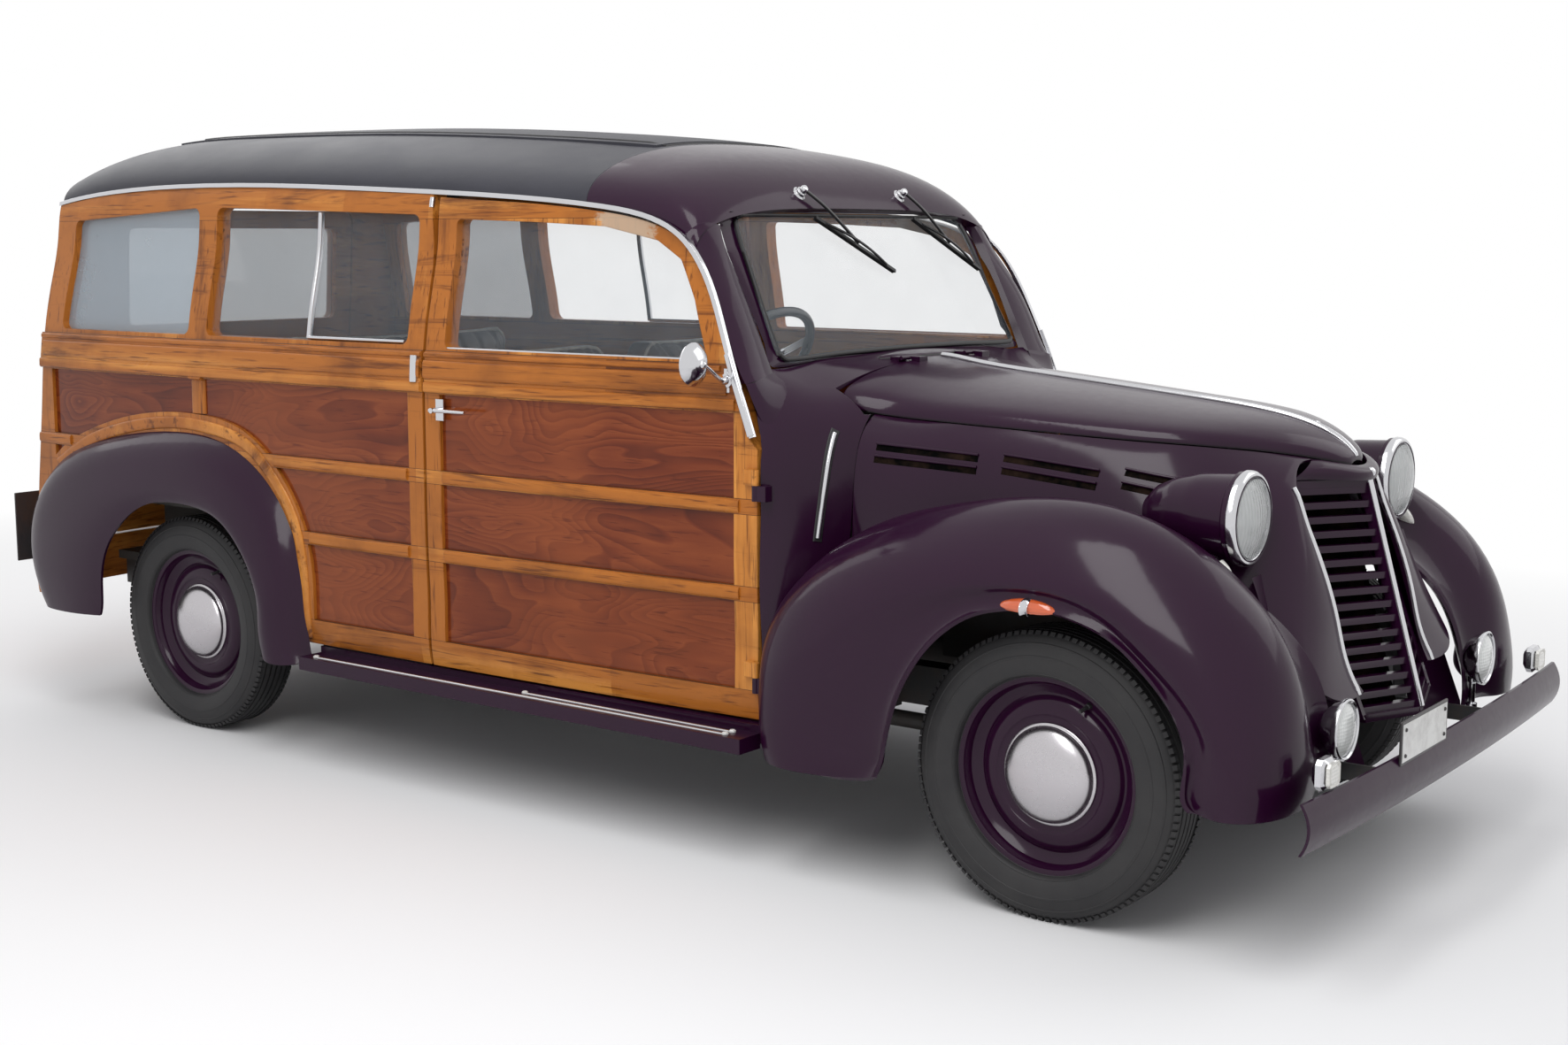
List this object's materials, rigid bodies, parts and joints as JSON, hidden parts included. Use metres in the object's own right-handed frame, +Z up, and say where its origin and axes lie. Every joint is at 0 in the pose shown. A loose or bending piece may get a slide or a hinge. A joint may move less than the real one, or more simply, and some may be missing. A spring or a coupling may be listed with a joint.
{
  "type": "wood-bodied station wagon",
  "caption": "Two-door estate car with a steel front, a framed wooden body, a cloth-covered roof and a side-hinged rear door.",
  "frame": {"origin": "on the ground, on the car's centre plane, half way between the front of the bumper and the rear end", "axes": "+X to the front, +Y to the car's left, +Z up"},
  "size_m": [4.115, 1.5879, 1.6702],
  "materials": {
    "roof_fabric": "leather-grain coated cloth, satin",
    "chrome": "polished",
    "body_paint": "very dark aubergine gloss",
    "wheel_paint": "dark aubergine gloss with chromed cap",
    "glass": "clear, slightly grey",
    "ash_wood": "varnished, honey brown",
    "mahogany": "varnished plywood, reddish",
    "tyre": "satin black",
    "chassis_black": "satin black",
    "cast_iron": "rough cast",
    "floor_board": "dark boards with rubber mat",
    "upholstery": "soft tan leather",
    "dash_paint": "dark aubergine",
    "dark_plastic": "black",
    "lamp_chrome": "polished",
    "lamp_white": "white lens in a dark housing",
    "lamp_red": "red lens",
    "plate_white": "white, blank"
  },
  "bodies": {
    "root": {"body_side_left": "ash_wood", "body_side_right": "ash_wood", "bumper_irons": "chrome", "chassis": "chassis_black", "cowl": "body_paint", "dashboard": "dash_paint", "engine": "cast_iron", "exhaust": "chassis_black", "fixed_windows": "glass", "floor": "floor_board", "fog_lamps": "lamp_chrome", "front_axle": "chassis_black", "front_bumper": "body_paint", "front_fenders": "body_paint", "front_seats": "upholstery", "fuel_tank": "chassis_black", "grille": "body_paint", "headlamp_lenses": "glass", "headlamps": "body_paint", "nose": "body_paint", "number_plates": "plate_white", "rear_axle": "chassis_black", "rear_fenders": "body_paint", "rear_frame": "ash_wood", "rear_seat": "upholstery", "rear_springs": "chassis_black", "roof_cloth": "roof_fabric", "roof_gutters": "chrome", "running_boards": "body_paint", "seat_bases": "chassis_black", "side_panels": "mahogany", "signal_lamps": "lamp_white", "steering_column": "dark_plastic", "tail_lamps": "lamp_red", "windscreen_frame": "body_paint"},
    "door_left": {"door_left": "ash_wood", "door_panels_left": "mahogany", "door_window_left": "glass", "door_handle_left": "chrome"},
    "knuckle_left": {"knuckle_left": "chassis_black"},
    "wheel_front_left": {"wheel_front_left": "wheel_paint", "tyre_front_left": "tyre"},
    "wheel_rear_left": {"wheel_rear_left": "wheel_paint", "tyre_rear_left": "tyre"},
    "door_right": {"door_right": "ash_wood", "door_panels_right": "mahogany", "door_window_right": "glass", "door_handle_right": "chrome", "mirror": "chrome"},
    "knuckle_right": {"knuckle_right": "chassis_black"},
    "wheel_front_right": {"wheel_front_right": "wheel_paint", "tyre_front_right": "tyre"},
    "wheel_rear_right": {"wheel_rear_right": "wheel_paint", "tyre_rear_right": "tyre"},
    "hood": {"hood": "body_paint", "hood_strip": "chrome"},
    "rear_door": {"rear_door": "ash_wood", "rear_window": "glass"},
    "steering_wheel": {"steering_wheel": "dark_plastic"}
  },
  "joints": [
    {"name": "steer_left", "type": "hinge", "parent": "root", "child": "knuckle_left", "pos_m": [1.4425, 0.5, 0.298], "axis": [0, 0, 1], "range_deg": [-30, 30]},
    {"name": "steer_right", "type": "hinge", "parent": "root", "child": "knuckle_right", "pos_m": [1.4425, -0.5, 0.298], "axis": [0, 0, 1], "range_deg": [-30, 30]},
    {"name": "spin_front_left", "type": "hinge", "parent": "knuckle_left", "child": "wheel_front_left", "pos_m": [1.4425, 0.612, 0.298], "axis": [0, 1, 0], "continuous": true},
    {"name": "spin_rear_left", "type": "hinge", "parent": "root", "child": "wheel_rear_left", "pos_m": [-1.2575, 0.612, 0.298], "axis": [0, 1, 0], "continuous": true},
    {"name": "spin_front_right", "type": "hinge", "parent": "knuckle_right", "child": "wheel_front_right", "pos_m": [1.4425, -0.612, 0.298], "axis": [0, 1, 0], "continuous": true},
    {"name": "spin_rear_right", "type": "hinge", "parent": "root", "child": "wheel_rear_right", "pos_m": [-1.2575, -0.612, 0.298], "axis": [0, 1, 0], "continuous": true},
    {"name": "door_left_swing", "type": "hinge", "parent": "root", "child": "door_left", "pos_m": [0.73054, 0.6805, 0.65], "axis": [0, 0, -1], "range_deg": [0, 65]},
    {"name": "door_right_swing", "type": "hinge", "parent": "root", "child": "door_right", "pos_m": [0.73054, -0.6805, 0.65], "axis": [0, 0, 1], "range_deg": [0, 65]},
    {"name": "hood_lift", "type": "hinge", "parent": "root", "child": "hood", "pos_m": [0.7699, 0, 1.08465], "axis": [0, -1, 0], "range_deg": [0, 50]},
    {"name": "rear_door_swing", "type": "hinge", "parent": "root", "child": "rear_door", "pos_m": [-1.94614, -0.462, 0.95488], "axis": [0.1153, 0, 0.9933], "range_deg": [0, 95]},
    {"name": "steering_wheel_turn", "type": "hinge", "parent": "root", "child": "steering_wheel", "pos_m": [0.4219, -0.3297, 1.03563], "axis": [-0.766, 0, 0.6428], "range_deg": [-420, 420]}
  ],
  "couplings": [
    {"joint": "steer_right", "follows": "steer_left", "ratio": 1},
    {"joint": "steering_wheel_turn", "follows": "steer_left", "ratio": 14}
  ]
}
